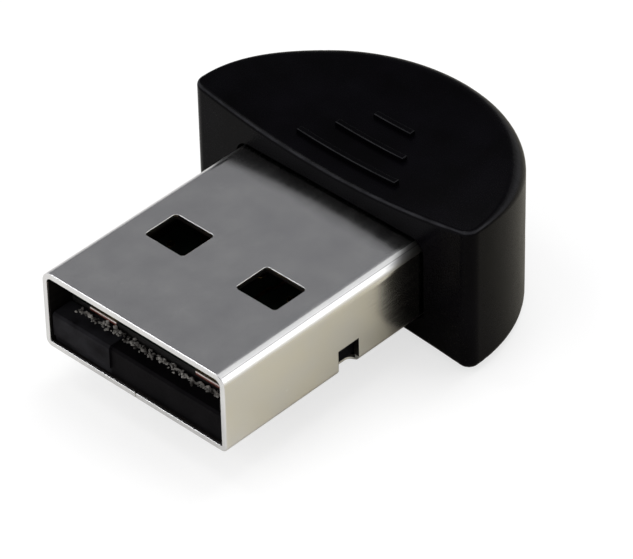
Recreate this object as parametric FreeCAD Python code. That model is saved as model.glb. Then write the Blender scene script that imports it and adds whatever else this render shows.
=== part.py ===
import FreeCAD, Part
import math
import os

# Plug-in radio adapter, in millimetres.
# Origin: centre of the plug's open end. +Y runs from the plug into the housing, +Z is up.

# Plug shell, folded from steel sheet
plug_width = 12.0
plug_height = 4.5
sheet = 0.3
plug_bend = 0.63
plug_lower_bend = 0.38
plug_reach = 13.3
tail_length = 2.1
seam_gap = 0.06
mouth_round = 0.06

# Windows in the shell's top and bottom
window_width = 2.6
window_length = 2.15
window_spread = 6.0
window_start = 5.13
window_corner = 0.2

# Slot cut through each side wall and its lower bend
slot_start = 7.55
slot_length = 1.4
slot_height = 1.48
slot_depth = 0.6
slot_round = 0.4

# Solder lugs at the shell's tail
lug_length = 1.7
lug_height = 1.2
lug_fit = 0.08

# Housing. The radius of its top rim grows from rim_round to back_round over the first back_turn degrees of the D.
housing_width = 18.2
housing_depth = 9.55
housing_straight = 0.7
housing_corner = 0.64
inner_corner = 0.3
wall = 1.0
rim_round = 0.22
back_round = 0.8
back_turn = 45.0
bottom_round = 0.4
plug_fit = 0.15

# Dished top and underside: height at the middle of the front, and the radii of curvature
top_rise = 3.44
top_across = 40.6
top_along = 61.7
bottom_drop = 3.54
bottom_across = 86.0
bottom_along = 61.7

# Grip bars on the top
bar_count = 3
bar_length = 6.4
bar_step = 2.0
bar_width = 0.34
bar_height = 0.25
bar_pitch = 1.65
bar_start = 1.2
bar_round = 0.07

# Bottom cover, and the bosses behind the lugs that take its pins
cover_thickness = 0.7
cover_rim = 0.6
cover_fit = 0.05
boss_gap = 0.2
boss_inset = 1.8
boss_radius = 0.85
boss_bore = 0.5
boss_drop = 1.6
pin_fit = 0.02
pin_length = 1.2

# Posts of the bottom cover that carry the board
post_spread = 6.0
post_ahead = 3.25
post_radius = 0.6
post_gap = 0.05

# Board cradle, with its front lip and the step in its front face
cradle_set_back = 0.25
cradle_fit = 0.1
lip_length = 1.15
lip_rise = 0.25
lip_chamfer = 0.12
step_reach = 3.8
step_out = 0.1
step_up = 0.1

# Circuit board
board_thickness = 0.6
board_top = 0.0
board_fit = 0.1
board_gap = 0.2
edge_gap = 0.1
notch_gap = 0.15

# Contact strips on the board, which end ahead of the housing
contact_thickness = 0.05
contact_stop = 6.5
outer_spread = 7.0
outer_width = 1.8
outer_lead = 0.05
inner_spread = 2.0
inner_width = 1.2
inner_lead = 1.0

# Small parts: size along X, along Y and in height
radio_size = (4.0, 4.0, 0.85)
memory_size = (3.0, 2.0, 0.6)
regulator_size = (1.6, 1.6, 0.6)
crystal_size = (2.5, 2.0, 0.6)
led_size = (1.6, 0.8, 0.5)
antenna_size = (3.0, 1.0, 0.9)
filter_size = (1.6, 0.8, 0.6)
bead_size = (1.6, 0.8, 0.8)
resistor_size = (1.0, 0.5, 0.35)
capacitor_size = (1.0, 0.5, 0.5)
chip_bevel = 0.08

# Small parts inside the plug: middle along X, and distance ahead of the housing's front
memory_place = (-2.6, 1.8)
regulator_place = (0.3, 1.8)
crystal_place = (2.9, 1.8)
bead_place = (-3.0, 0.1)
front_row = 3.3
rear_row = 0.1
row_pitch = 1.7

# Small parts inside the housing: middle along X, and distance ahead of the housing's end
radio_place = (-0.75, 5.3)
led_place = (2.5, 6.55)
first_capacitor_place = (2.5, 5.45)
second_capacitor_place = (2.5, 4.55)
filter_place = (2.5, 3.55)
antenna_place = (0.0, 2.25)

# Solder: fillets at the ends of small parts, terminals along the chips, joints at the lugs
fillet_reach = 0.22
fillet_share = 0.6
terminal_width = 0.25
terminal_pitch = 0.65
terminal_reach = 0.15
terminal_rise = 0.12
lug_joint_reach = 0.45
lug_joint_rise = 0.28
lug_joint_gap = 0.2

# Reach of a cutting solid past the faces that it cuts
over = 1.0

# How near a place counts as the same, and how straight an edge counts as a line
same_place = 0.0001
straightness = 0.9999

housing_start = plug_reach
ellipse_start = plug_reach + housing_straight
housing_end = plug_reach + housing_depth
tail_end = plug_reach + tail_length
board_bottom = board_top - board_thickness
board_front = cradle_set_back + lip_length + edge_gap
contact_end = plug_reach - contact_stop
floor_level = -plug_height / 2 + sheet
lug_end = tail_end + lug_length
boss_y = lug_end + boss_gap + boss_radius
boss_share = (boss_y - ellipse_start) / (housing_end - ellipse_start - boss_inset)
boss_x = (housing_width / 2 - boss_inset) * math.sqrt(1 - boss_share ** 2)
full_height = top_rise + bottom_drop + housing_width


def vector(x, y, z):
    return FreeCAD.Vector(x, y, z)


def box(x0, x1, y0, y1, z0, z1):
    return Part.makeBox(x1 - x0, y1 - y0, z1 - z0, vector(x0, y0, z0))


def rod(x, y, z0, z1, radius):
    return Part.makeCylinder(radius, z1 - z0, vector(x, y, z0))


def lines_along(shape, axis):
    """Straight edges of a shape that run along one axis."""
    found = []
    for edge in shape.Edges:
        run = edge.valueAt(edge.LastParameter) - edge.valueAt(edge.FirstParameter)
        if abs(run.dot(axis)) > straightness * edge.Length:
            found.append(edge)
    return found


def tube_section(grow, y0, y1):
    """Solid of the plug's outer section, grown outwards by grow, that runs along Y about the plug's middle line."""
    across = plug_width / 2 + grow
    up = plug_height / 2 + grow
    block = box(-across, across, y0, y1, -up, up)
    upper = []
    for edge in lines_along(block, vector(0, 1, 0)):
        if edge.CenterOfMass.z > 0:
            upper.append(edge)
    section = block.makeFillet(plug_bend + grow, upper)
    lower = []
    for edge in lines_along(section, vector(0, 1, 0)):
        if edge.CenterOfMass.z < -up + same_place:
            lower.append(edge)
    return section.makeFillet(plug_lower_bend + grow, lower)


def half_ellipse(centre_y, across, along, z):
    """Three runs of a half ellipse from (+across) over the back to (-across)."""
    centre = vector(0, centre_y, z)
    side = vector(across, centre_y, z)
    back = vector(0, centre_y + along, z)
    left = vector(-across, centre_y, z)
    start = 0.0
    curve = Part.Ellipse(side, back, centre)
    if across < along:
        start = -math.pi / 2
        curve = Part.Ellipse(back, left, centre)
    turn = math.radians(back_turn)
    stops = [start, start + turn, start + math.pi - turn, start + math.pi]
    return [curve.toShape(low, high) for low, high in zip(stops, stops[1:])]


def d_prism(inset, corner, z0, z1):
    """Upright prism of the housing's D outline, moved inwards by inset."""
    across = housing_width / 2 - inset
    along = housing_end - ellipse_start - inset
    front = housing_start + inset
    base = min(front, ellipse_start) - over
    curves = half_ellipse(ellipse_start, across, along, z0)
    left = vector(-across, ellipse_start, z0)
    right = vector(across, ellipse_start, z0)
    left_base = vector(-across, base, z0)
    right_base = vector(across, base, z0)
    sides = [Part.makeLine(left, left_base), Part.makeLine(left_base, right_base), Part.makeLine(right_base, right)]
    outline = Part.Wire(curves + sides)
    prism = Part.Face(outline).extrude(vector(0, 0, z1 - z0))
    reach = housing_width + housing_depth
    prism = prism.common(box(-reach, reach, front, front + reach, z0 - over, z1 + over))
    corners = []
    for edge in lines_along(prism, vector(0, 0, 1)):
        if abs(edge.CenterOfMass.y - front) < same_place:
            corners.append(edge)
    return prism.makeFillet(corner, corners)


def dish(side, height, across, along, offset):
    """Barrel whose skin is the dished surface; side is 1 above the housing and -1 below it."""
    axis_z = side * (height + across)
    y0 = housing_start - over
    y1 = housing_end + over

    def skin(y):
        radius = across - along + math.sqrt(along ** 2 - (y - housing_start) ** 2) + offset
        return vector(0, y, axis_z + side * radius)

    middle = (y0 + y1) / 2
    arc = Part.Arc(skin(y0), skin(middle), skin(y1)).toShape()
    start = vector(0, y0, axis_z)
    end = vector(0, y1, axis_z)
    outline = Part.Wire([Part.makeLine(start, skin(y0)), arc, Part.makeLine(skin(y1), end), Part.makeLine(end, start)])
    return Part.Face(outline).revolve(start, vector(0, 1, 0), 360)


def top_dish(offset):
    return dish(1, top_rise, top_across, top_along, offset)


def bottom_dish(offset):
    return dish(-1, bottom_drop, bottom_across, bottom_along, offset)


def top_rim_radius(point):
    """Radius of the top rim's rounding, which grows round the D towards the back."""
    if point.y < ellipse_start:
        return rim_round
    up = (point.y - ellipse_start) / (housing_end - ellipse_start)
    turned = math.degrees(math.atan2(up, 2 * abs(point.x) / housing_width))
    return rim_round + (back_round - rim_round) * min(1.0, turned / back_turn)


def round_top_rim(form):
    """Form with its top rim rounded by a radius that follows top_rim_radius."""
    edges = []
    for index, edge in enumerate(form.Edges, 1):
        middle = edge.CenterOfMass
        if middle.z > top_rise / 2 and edge.BoundBox.ZLength < top_rise:
            first = edge.valueAt(edge.FirstParameter)
            last = edge.valueAt(edge.LastParameter)
            edges.append((index, top_rim_radius(first), top_rim_radius(last)))
    document = FreeCAD.newDocument("rim")
    base = document.addObject("Part::Feature", "form")
    base.Shape = form
    rounding = document.addObject("Part::Fillet", "rounding")
    rounding.Base = base
    rounding.Edges = edges
    document.recompute()
    return rounding.Shape


def housing_form():
    """Outer form of the closed housing: the D between the two dished surfaces, its rims rounded."""
    form = d_prism(0.0, housing_corner, -full_height, full_height)
    form = round_top_rim(form.cut(top_dish(0.0)).cut(bottom_dish(0.0)))
    rims = []
    for edge in form.Edges:
        if edge.CenterOfMass.z < -bottom_drop / 2 and edge.BoundBox.ZLength < bottom_drop:
            rims.append(edge)
    return form.makeFillet(bottom_round, rims)


def grip_bars():
    """Raised bars whose tops run parallel to the dished top."""
    bars = []
    for index in range(bar_count):
        length = bar_length - index * bar_step
        y = plug_reach + bar_start + index * bar_pitch
        bar = box(-length / 2, length / 2, y, y + bar_width, top_rise - wall / 2, top_rise + top_rise)
        bar = bar.cut(top_dish(-bar_height))
        top = max(bar.Faces, key=lambda face: face.CenterOfMass.z)
        bars.append(bar.makeFillet(bar_round, top.Edges))
    return bars


def upper_housing():
    """Cap with its walls, plug opening, ledge for the cover, grip bars and bosses."""
    form = housing_form()
    room = d_prism(wall, inner_corner, -full_height, full_height).cut(top_dish(wall))
    pocket = d_prism(cover_rim, inner_corner, -full_height, 0.0).common(bottom_dish(cover_thickness))
    opening = tube_section(plug_fit, plug_reach - over, plug_reach + wall + over)
    cap = form.cut(room).cut(pocket).cut(opening)
    for side in (-1, 1):
        x = side * boss_x
        boss = rod(x, boss_y, -boss_drop, top_rise + wall, boss_radius)
        boss = boss.cut(top_dish(wall / 2)).common(d_prism(wall / 2, inner_corner, -full_height, full_height))
        bore = rod(x, boss_y, -boss_drop - over, -boss_drop + pin_length + pin_fit, boss_bore)
        cap = cap.fuse(boss).cut(bore)
    for bar in grip_bars():
        cap = cap.fuse(bar)
    return cap.removeSplitter()


def bottom_cover():
    """Dished plate that fills the cap's lower pocket, with two pins and two board posts."""
    plate = d_prism(cover_rim + cover_fit, inner_corner, -full_height, 0.0)
    plate = plate.common(bottom_dish(cover_thickness - pin_fit)).cut(bottom_dish(0.0))
    root = -bottom_drop - over
    cut_below = bottom_dish(cover_thickness / 2)
    for side in (-1, 1):
        x = side * boss_x
        shoulder = rod(x, boss_y, root, -boss_drop - cover_fit, boss_radius - cover_fit)
        pin = rod(x, boss_y, root, -boss_drop + pin_length - pin_fit, boss_bore - pin_fit)
        post_x = side * post_spread / 2
        post = rod(post_x, housing_end - post_ahead, root, board_bottom - post_gap, post_radius)
        held = shoulder.fuse(pin).common(d_prism(wall + cover_fit, inner_corner, -full_height, full_height))
        plate = plate.fuse(held.cut(cut_below)).fuse(post.cut(cut_below))
    return plate.removeSplitter()


def window_cutter(x, z0, z1):
    cutter = box(x - window_width / 2, x + window_width / 2, window_start, window_start + window_length, z0, z1)
    return cutter.makeFillet(window_corner, lines_along(cutter, vector(0, 0, 1)))


def slot_cutter(side):
    """Cuts one side wall and its lower bend, with its inner rear corner rounded."""
    inner = plug_width / 2 - slot_depth
    top = -plug_height / 2 + slot_height
    cutter = box(inner, inner + slot_depth + over, slot_start, slot_start + slot_length, top - slot_height - over, top)
    corner = []
    for edge in lines_along(cutter, vector(0, 0, 1)):
        middle = edge.CenterOfMass
        if middle.x < inner + slot_depth / 2 and middle.y > slot_start + slot_length / 2:
            corner.append(edge)
    cutter = cutter.makeFillet(slot_round, corner)
    if side < 0:
        cutter = cutter.mirror(vector(0, 0, 0), vector(1, 0, 0))
    return cutter


def plug_shell():
    """Folded steel sheath with windows, side slots, butt seam and solder lugs."""
    outer = tube_section(0.0, 0.0, tail_end)
    rim = [edge for edge in outer.Edges if edge.BoundBox.YMax < same_place]
    outer = outer.makeFillet(mouth_round, rim)
    shell = outer.cut(tube_section(-sheet, -over, tail_end + over))
    for side in (-1, 1):
        shell = shell.cut(window_cutter(side * window_spread / 2, -plug_height, plug_height))
        shell = shell.cut(slot_cutter(side))
        x0 = min(side * plug_width / 2, side * (plug_width / 2 - sheet))
        middle = board_top - board_thickness / 2
        lug = box(x0, x0 + sheet, tail_end - sheet, lug_end, middle - lug_height / 2, middle + lug_height / 2)
        shell = shell.fuse(lug)
    seam = box(-seam_gap / 2, seam_gap / 2, -over, tail_end + over, -plug_height, floor_level + sheet / 2)
    return shell.cut(seam).removeSplitter()


def board_cradle():
    """Tongue block under the board, with a front lip whose left part stands proud."""
    half = plug_width / 2 - sheet - cradle_fit
    lip_end = cradle_set_back + lip_length
    body = box(-half, half, cradle_set_back, tail_end, floor_level, board_bottom)
    lower = []
    for edge in lines_along(body, vector(0, 1, 0)):
        if edge.CenterOfMass.z < (floor_level + board_bottom) / 2:
            lower.append(edge)
    body = body.makeFillet(plug_lower_bend - sheet + cradle_fit / 2, lower)
    lip = box(-half, half, cradle_set_back, lip_end, board_bottom - over / 2, board_bottom + lip_rise)
    step = box(-half, -half + step_reach, cradle_set_back - step_out, lip_end, floor_level + plug_lower_bend,
               board_bottom + lip_rise + step_up)
    front_tops = []
    for block in (lip, step):
        edges = []
        for edge in lines_along(block, vector(1, 0, 0)):
            middle = edge.CenterOfMass
            if middle.y < lip_end - lip_length / 2 and middle.z > board_bottom:
                edges.append(edge)
        front_tops.append(block.makeChamfer(lip_chamfer, edges))
    return body.fuse(front_tops).removeSplitter()


def circuit_board():
    """Board with a straight part between the lugs and a D-shaped part behind them, notched for the bosses."""
    half = plug_width / 2 - sheet - board_fit
    board = box(-half, half, board_front, boss_y, board_bottom, board_top)
    wide = d_prism(wall + board_gap, inner_corner, board_bottom, board_top)
    front = box(-housing_width, housing_width, 0.0, boss_y, board_bottom - over, board_top + over)
    board = board.fuse(wide.cut(front))
    radius = boss_radius + notch_gap
    for side in (-1, 1):
        notch = rod(side * boss_x, boss_y, board_bottom - over, board_top + over, radius)
        x0 = min(side * boss_x, side * housing_width)
        opening = box(x0, x0 + housing_width - boss_x, boss_y - radius, boss_y + radius, board_bottom - over,
                      board_top + over)
        board = board.cut(notch).cut(opening)
    return board.removeSplitter()


def contact(x, width, lead):
    front = board_front + lead
    return box(x - width / 2, x + width / 2, front, contact_end, board_top, board_top + contact_thickness)


def in_plug(place):
    """Point on the board from a place that is measured ahead of the housing's front."""
    x, ahead = place
    return x, plug_reach - ahead


def in_housing(place):
    """Point on the board from a place that is measured ahead of the housing's end."""
    x, ahead = place
    return x, housing_end - ahead


def block(size, point):
    """Rectangular body of a small part on the board."""
    x, y = point
    length, width, height = size
    return box(x - length / 2, x + length / 2, y - width / 2, y + width / 2, board_top, board_top + height)


def chip(size, point):
    """Moulded chip body with its upper edges chamfered."""
    body = block(size, point)
    top = max(body.Faces, key=lambda face: face.CenterOfMass.z)
    return body.makeChamfer(chip_bevel, top.Edges)


def wedge(x, y, reach, width, rise):
    """Solder fillet: a triangle in XZ that leans on the face at x and runs along Y."""
    points = [vector(x, y - width / 2, board_top), vector(x + reach, y - width / 2, board_top)]
    points.append(vector(x, y - width / 2, board_top + rise))
    outline = Part.makePolygon(points + [points[0]])
    return Part.Face(outline).extrude(vector(0, width, 0))


def end_fillets(size, point):
    """Solder fillets at both ends of a two-ended part."""
    x, y = point
    length, width, height = size
    rise = height * fillet_share
    return [
        wedge(x + length / 2, y, fillet_reach, width, rise),
        wedge(x - length / 2, y, -fillet_reach, width, rise),
    ]


def terminals(size, point):
    """Solder at the terminals along a chip's two long sides."""
    x, y = point
    length, width, height = size
    count = int((width - 2 * terminal_width) / terminal_pitch) + 1
    joints = []
    for index in range(count):
        joint_y = y + (index - (count - 1) / 2) * terminal_pitch
        joints.append(wedge(x + length / 2, joint_y, terminal_reach, terminal_width, terminal_rise))
        joints.append(wedge(x - length / 2, joint_y, -terminal_reach, terminal_width, terminal_rise))
    return joints


def shell_solder():
    """Joints between the shell's lugs and the board's top."""
    inner = plug_width / 2 - sheet
    length = lug_length - lug_joint_gap - lug_fit
    middle = tail_end + lug_joint_gap + length / 2
    joints = []
    for side in (-1, 1):
        joints.append(wedge(side * inner, middle, -side * lug_joint_reach, length, lug_joint_rise))
    return Part.makeCompound(joints)


radio = in_housing(radio_place)
memory = in_plug(memory_place)
regulator = in_plug(regulator_place)
crystal = in_plug(crystal_place)
led = in_housing(led_place)
antenna = in_housing(antenna_place)
filter_point = in_housing(filter_place)
bead = in_plug(bead_place)
resistor_points = [in_plug((column * row_pitch, front_row)) for column in (-2, 1)]
resistor_points.append(in_plug((1.5 * row_pitch, rear_row)))
capacitor_points = [in_plug((column * row_pitch, front_row)) for column in (-1, 0, 2)]
capacitor_points += [in_plug((column * row_pitch, rear_row)) for column in (-0.5, 0.5)]
capacitor_points += [in_housing(first_capacitor_place), in_housing(second_capacitor_place)]


def component_solder():
    """Solder of every small part, in one compound."""
    joints = []
    two_ended = [(led_size, led), (filter_size, filter_point), (bead_size, bead), (antenna_size, antenna)]
    two_ended += [(resistor_size, point) for point in resistor_points]
    two_ended += [(capacitor_size, point) for point in capacitor_points]
    for size, point in two_ended:
        joints += end_fillets(size, point)
    chips = [(radio_size, radio), (memory_size, memory), (regulator_size, regulator), (crystal_size, crystal)]
    for size, point in chips:
        joints += terminals(size, point)
    return Part.makeCompound(joints)


pieces = {
    "upper_housing": upper_housing(),
    "bottom_cover": bottom_cover(),
    "plug_shell": plug_shell(),
    "board_cradle": board_cradle(),
    "circuit_board": circuit_board(),
    "power_contact": contact(-outer_spread / 2, outer_width, outer_lead),
    "data_minus_contact": contact(-inner_spread / 2, inner_width, inner_lead),
    "data_plus_contact": contact(inner_spread / 2, inner_width, inner_lead),
    "ground_contact": contact(outer_spread / 2, outer_width, outer_lead),
    "radio_chip": chip(radio_size, radio),
    "memory_chip": chip(memory_size, memory),
    "voltage_regulator": chip(regulator_size, regulator),
    "crystal": chip(crystal_size, crystal),
    "status_led": chip(led_size, led),
    "chip_antenna": block(antenna_size, antenna),
    "antenna_filter": block(filter_size, filter_point),
    "ferrite_bead": block(bead_size, bead),
    "resistors": Part.makeCompound([block(resistor_size, point) for point in resistor_points]),
    "capacitors": Part.makeCompound([block(capacitor_size, point) for point in capacitor_points]),
    "shell_solder": shell_solder(),
    "component_solder": component_solder(),
}

os.makedirs("parts", exist_ok=True)
for name, shape in pieces.items():
    shape.exportStep("parts/" + name + ".step")
    print(name, len(shape.Solids), round(shape.Volume, 3), shape.isValid())
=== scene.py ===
"""Looks of the plug-in radio adapter: its finishes, the details that the solids leave out, and the studio.

Lengths are in millimetres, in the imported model's frame: the origin is the centre of the plug's open end,
+Y runs into the housing and +Z is up.
"""

from __future__ import annotations

import logging
import math
import random
from contextlib import contextmanager
from dataclasses import dataclass
from enum import Enum
from typing import Callable, Iterable, Iterator

import bmesh
import bpy
from mathutils import Euler, Matrix, Vector


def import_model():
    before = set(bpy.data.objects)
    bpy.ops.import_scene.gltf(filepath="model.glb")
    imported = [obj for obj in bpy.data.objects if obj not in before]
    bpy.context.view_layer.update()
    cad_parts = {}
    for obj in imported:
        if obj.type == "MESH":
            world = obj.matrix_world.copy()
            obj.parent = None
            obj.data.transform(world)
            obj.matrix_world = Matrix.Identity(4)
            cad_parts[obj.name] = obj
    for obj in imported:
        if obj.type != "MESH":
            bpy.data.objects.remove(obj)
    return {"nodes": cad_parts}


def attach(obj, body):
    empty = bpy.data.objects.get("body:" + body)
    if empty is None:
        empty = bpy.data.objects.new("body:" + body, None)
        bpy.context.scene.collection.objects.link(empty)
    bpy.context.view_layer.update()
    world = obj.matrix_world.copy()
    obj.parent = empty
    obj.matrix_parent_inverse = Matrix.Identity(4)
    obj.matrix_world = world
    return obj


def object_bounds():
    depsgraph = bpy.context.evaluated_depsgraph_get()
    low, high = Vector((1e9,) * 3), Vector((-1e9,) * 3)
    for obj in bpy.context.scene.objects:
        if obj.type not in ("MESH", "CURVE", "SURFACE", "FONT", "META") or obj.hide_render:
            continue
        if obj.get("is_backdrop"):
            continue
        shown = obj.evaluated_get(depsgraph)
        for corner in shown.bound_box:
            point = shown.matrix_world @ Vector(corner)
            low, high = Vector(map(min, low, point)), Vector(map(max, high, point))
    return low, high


LOG = logging.getLogger("adapter")
MM = 0.001
BODY = "root"
SMOOTH_ANGLE = 0.6
UP = (0.0, 0.0, 1.0)

Colour = tuple[float, float, float]
Point = tuple[float, float, float]
Range = tuple[float, float]
Socket = bpy.types.NodeSocket


class Slot(Enum):
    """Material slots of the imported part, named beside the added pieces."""

    BOARD = "board_mask"
    GOLD = "contact_gold"
    CHIP = "chip_plastic"
    CAN = "can_metal"
    LENS = "led_lens"
    CERAMIC = "ceramic"
    SOLDER = "solder"


class Element(Enum):
    """What a selection in edit mode is made of."""

    EDGE = "EDGE"
    FACE = "FACE"


def metres(point: Iterable[float]) -> Vector:
    """Returns a point given in millimetres as a vector in metres."""
    return Vector(point) * MM


def scaled(colour: Colour, factor: float) -> Colour:
    """Returns a colour that is lighter or darker by a factor."""
    return tuple(factor * part for part in colour)


class Sheet:
    """Node tree of a material or of the surroundings, with short calls for the nodes that they share."""

    def __init__(self, name: str, world: bool = False) -> None:
        """Starts an empty tree.

        Args:
            name: The name of the material or of the surroundings.
            world: Whether the tree is for the surroundings.
        """
        self.owner = bpy.data.worlds.new(name) if world else bpy.data.materials.new(name)
        self.owner.use_nodes = True
        self.tree = self.owner.node_tree
        self.tree.nodes.clear()
        self.output = self.node("ShaderNodeOutputWorld" if world else "ShaderNodeOutputMaterial")
        self._place: Socket | None = None

    def node(self, kind: str, **settings: object) -> bpy.types.Node:
        """Adds a node.

        Args:
            kind: Blender's name for the node type.
            **settings: Values for the node's own properties.

        Returns:
            The new node.
        """
        made = self.tree.nodes.new(kind)
        for name, value in settings.items():
            setattr(made, name, value)
        return made

    def join(self, source: Socket | float | tuple[float, ...], target: Socket) -> None:
        """Links an output to an input, or sets the input's own value.

        Args:
            source: The output, or the value.
            target: The input.
        """
        if isinstance(source, Socket):
            self.tree.links.new(source, target)
        else:
            target.default_value = source

    def place(self, stretch: Point = (1.0, 1.0, 1.0)) -> Socket:
        """Gives the object coordinates in millimetres.

        Args:
            stretch: Factors along the three axes, below 1 for marks that run long.

        Returns:
            The vector output.
        """
        if self._place is None:
            self._place = self.node("ShaderNodeTexCoord").outputs["Object"]
        mapping = self.node("ShaderNodeMapping")
        self.join(tuple(factor / MM for factor in stretch), mapping.inputs["Scale"])
        self.join(self._place, mapping.inputs["Vector"])
        return mapping.outputs["Vector"]

    def noise(self, per_mm: float, detail: float = 3.0, stretch: Point = (1.0, 1.0, 1.0)) -> Socket:
        """Adds a noise pattern.

        Args:
            per_mm: How many blobs fit in a millimetre.
            detail: How many finer layers lie on top.
            stretch: Factors along the three axes.

        Returns:
            The pattern's value, about 0.5.
        """
        made = self.node("ShaderNodeTexNoise")
        self.join(per_mm, made.inputs["Scale"])
        self.join(detail, made.inputs["Detail"])
        self.join(self.place(stretch), made.inputs["Vector"])
        return made.outputs["Fac"]

    def spots(self, per_mm: float) -> Socket:
        """Adds cells.

        Args:
            per_mm: How many cells fit in a millimetre.

        Returns:
            The distance from the nearest cell's middle.
        """
        made = self.node("ShaderNodeTexVoronoi")
        self.join(per_mm, made.inputs["Scale"])
        self.join(self.place(), made.inputs["Vector"])
        return made.outputs["Distance"]

    def component(self, vector: Socket, axis: str) -> Socket:
        """Gives one component of a vector.

        Args:
            vector: The vector.
            axis: "X", "Y" or "Z".

        Returns:
            The component.
        """
        split = self.node("ShaderNodeSeparateXYZ")
        self.join(vector, split.inputs["Vector"])
        return split.outputs[axis]

    def along(self, axis: str) -> Socket:
        """Gives the place along one axis, in millimetres."""
        return self.component(self.place(), axis)

    def facing(self, axis: str) -> Socket:
        """Gives the normal's component along one axis, from -1 to 1."""
        return self.component(self.node("ShaderNodeNewGeometry").outputs["Normal"], axis)

    def offset(self, axis: str) -> Socket:
        """Gives the distance from the part's middle plane along one axis, in millimetres."""
        return self.calculate("ABSOLUTE", self.along(axis))

    def tilt(self, axis: str) -> Socket:
        """Gives how much the surface faces along one axis either way, from 0 to 1."""
        return self.calculate("ABSOLUTE", self.facing(axis))

    def product(self, first: Socket, *others: Socket) -> Socket:
        """Multiplies values.

        Args:
            first: The first value.
            *others: The other values.

        Returns:
            The product.
        """
        for other in others:
            first = self.calculate("MULTIPLY", first, other)
        return first

    def calculate(self, operation: str, first: Socket, second: Socket | float = 0.0) -> Socket:
        """Adds a math node.

        Args:
            operation: Blender's name for the operation.
            first: The first value.
            second: The second value.

        Returns:
            The result.
        """
        made = self.node("ShaderNodeMath", operation=operation)
        self.join(first, made.inputs[0])
        self.join(second, made.inputs[1])
        return made.outputs[0]

    def spread(self, value: Socket, start: float, end: float, low: float, high: float) -> Socket:
        """Maps a range of values to another range, held at both ends.

        Args:
            value: The value to map.
            start: The value that gives low.
            end: The value that gives high.
            low: The result at start.
            high: The result at end.

        Returns:
            The mapped value.
        """
        made = self.node("ShaderNodeMapRange")
        self.join(value, made.inputs["Value"])
        for socket, number in zip(("From Min", "From Max", "To Min", "To Max"), (start, end, low, high)):
            self.join(number, made.inputs[socket])
        return made.outputs["Result"]

    def tint(self, value: Socket, stops: list[tuple[float, Colour]]) -> Socket:
        """Colours a value.

        Args:
            value: The value to colour.
            stops: Places and their colours, in rising order.

        Returns:
            The colour.
        """
        made = self.node("ShaderNodeValToRGB")
        ramp = made.color_ramp
        while len(ramp.elements) < len(stops):
            ramp.elements.new(0.5)
        for element, (position, colour) in zip(ramp.elements, stops):
            element.position = position
            element.color = (*colour, 1.0)
        self.join(value, made.inputs["Fac"])
        return made.outputs["Color"]

    def blend(self, share: Socket, first: Socket, second: Socket) -> Socket:
        """Mixes two colours.

        Args:
            share: 0 for the first colour and 1 for the second.
            first: The first colour.
            second: The second colour.

        Returns:
            The mixed colour.
        """
        made = self.node("ShaderNodeMix", data_type="RGBA")
        self.join(share, made.inputs["Factor"])
        self.join(first, made.inputs["A"])
        self.join(second, made.inputs["B"])
        return made.outputs["Result"]

    def relief(self, height: Socket, depth: float, under: Socket | None = None) -> Socket:
        """Turns a height into a bumped normal.

        Args:
            height: The height, from 0 to 1.
            depth: The relief's depth in millimetres.
            under: The normal of the relief below this one.

        Returns:
            The bumped normal.
        """
        made = self.node("ShaderNodeBump")
        self.join(depth * MM, made.inputs["Distance"])
        self.join(height, made.inputs["Height"])
        if under is not None:
            self.join(under, made.inputs["Normal"])
        return made.outputs["Normal"]

    def surface(self, **sockets: Socket | float) -> bpy.types.Material:
        """Ends the tree in a Principled shader.

        Args:
            **sockets: Values or outputs for the shader's inputs, with _ for a space.

        Returns:
            The finished material.
        """
        shader = self.node("ShaderNodeBsdfPrincipled")
        for name, value in sockets.items():
            self.join(value, shader.inputs[name.replace("_", " ")])
        self.join(shader.outputs["BSDF"], self.output.inputs["Surface"])
        return self.owner


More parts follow.
